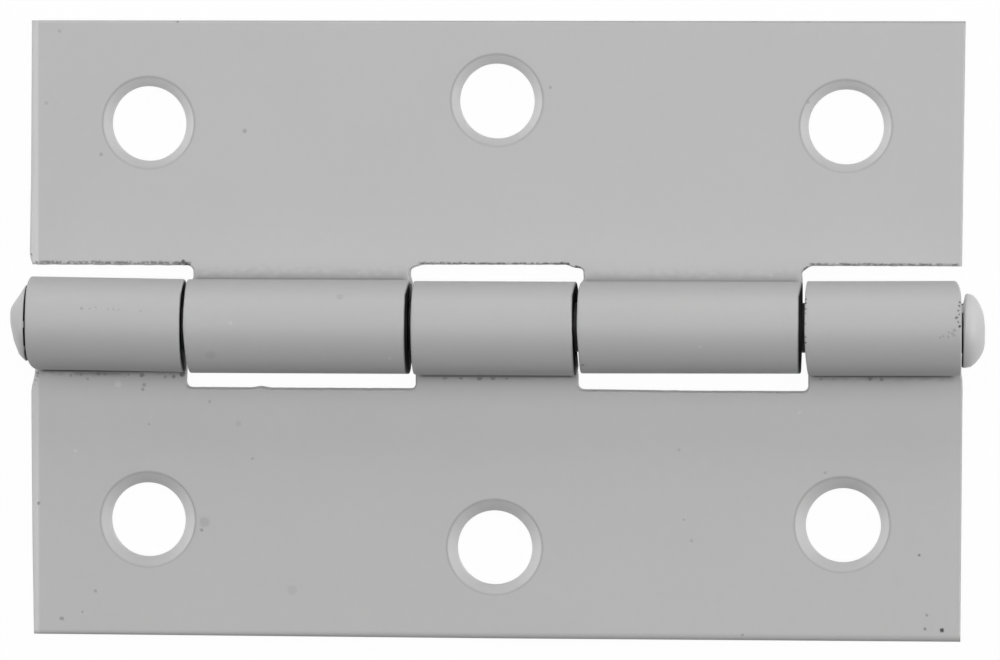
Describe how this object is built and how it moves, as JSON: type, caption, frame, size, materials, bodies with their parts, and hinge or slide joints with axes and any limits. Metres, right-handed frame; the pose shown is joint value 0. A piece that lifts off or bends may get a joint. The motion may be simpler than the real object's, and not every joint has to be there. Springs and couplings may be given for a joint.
{
  "type": "butt hinge",
  "caption": "Painted pressed-steel butt hinge: flat leaves with rolled knuckles swing on a riveted pin, with countersunk screw holes.",
  "frame": {"origin": "on the back plane of the open leaves, below the middle of the pin", "axes": "+X along the pin to its domed head, +Y to the leaf with two knuckles, +Z out of the countersunk faces"},
  "size_m": [0.0783, 0.0499, 0.0075],
  "materials": {
    "leaf_paint": "matte pale grey paint on pressed steel",
    "pin_paint": "matte pale grey paint over riveted steel"
  },
  "bodies": {
    "fixed_leaf": {"three_knuckle_leaf": "leaf_paint", "hinge_pin": "pin_paint"},
    "swinging_leaf": {"two_knuckle_leaf": "leaf_paint"}
  },
  "joints": [
    {"name": "leaf_swing", "type": "hinge", "parent": "fixed_leaf", "child": "swinging_leaf", "pos_m": [0, 0, 0.00377], "axis": [1, 0, 0], "range_deg": [-103, 189]}
  ]
}
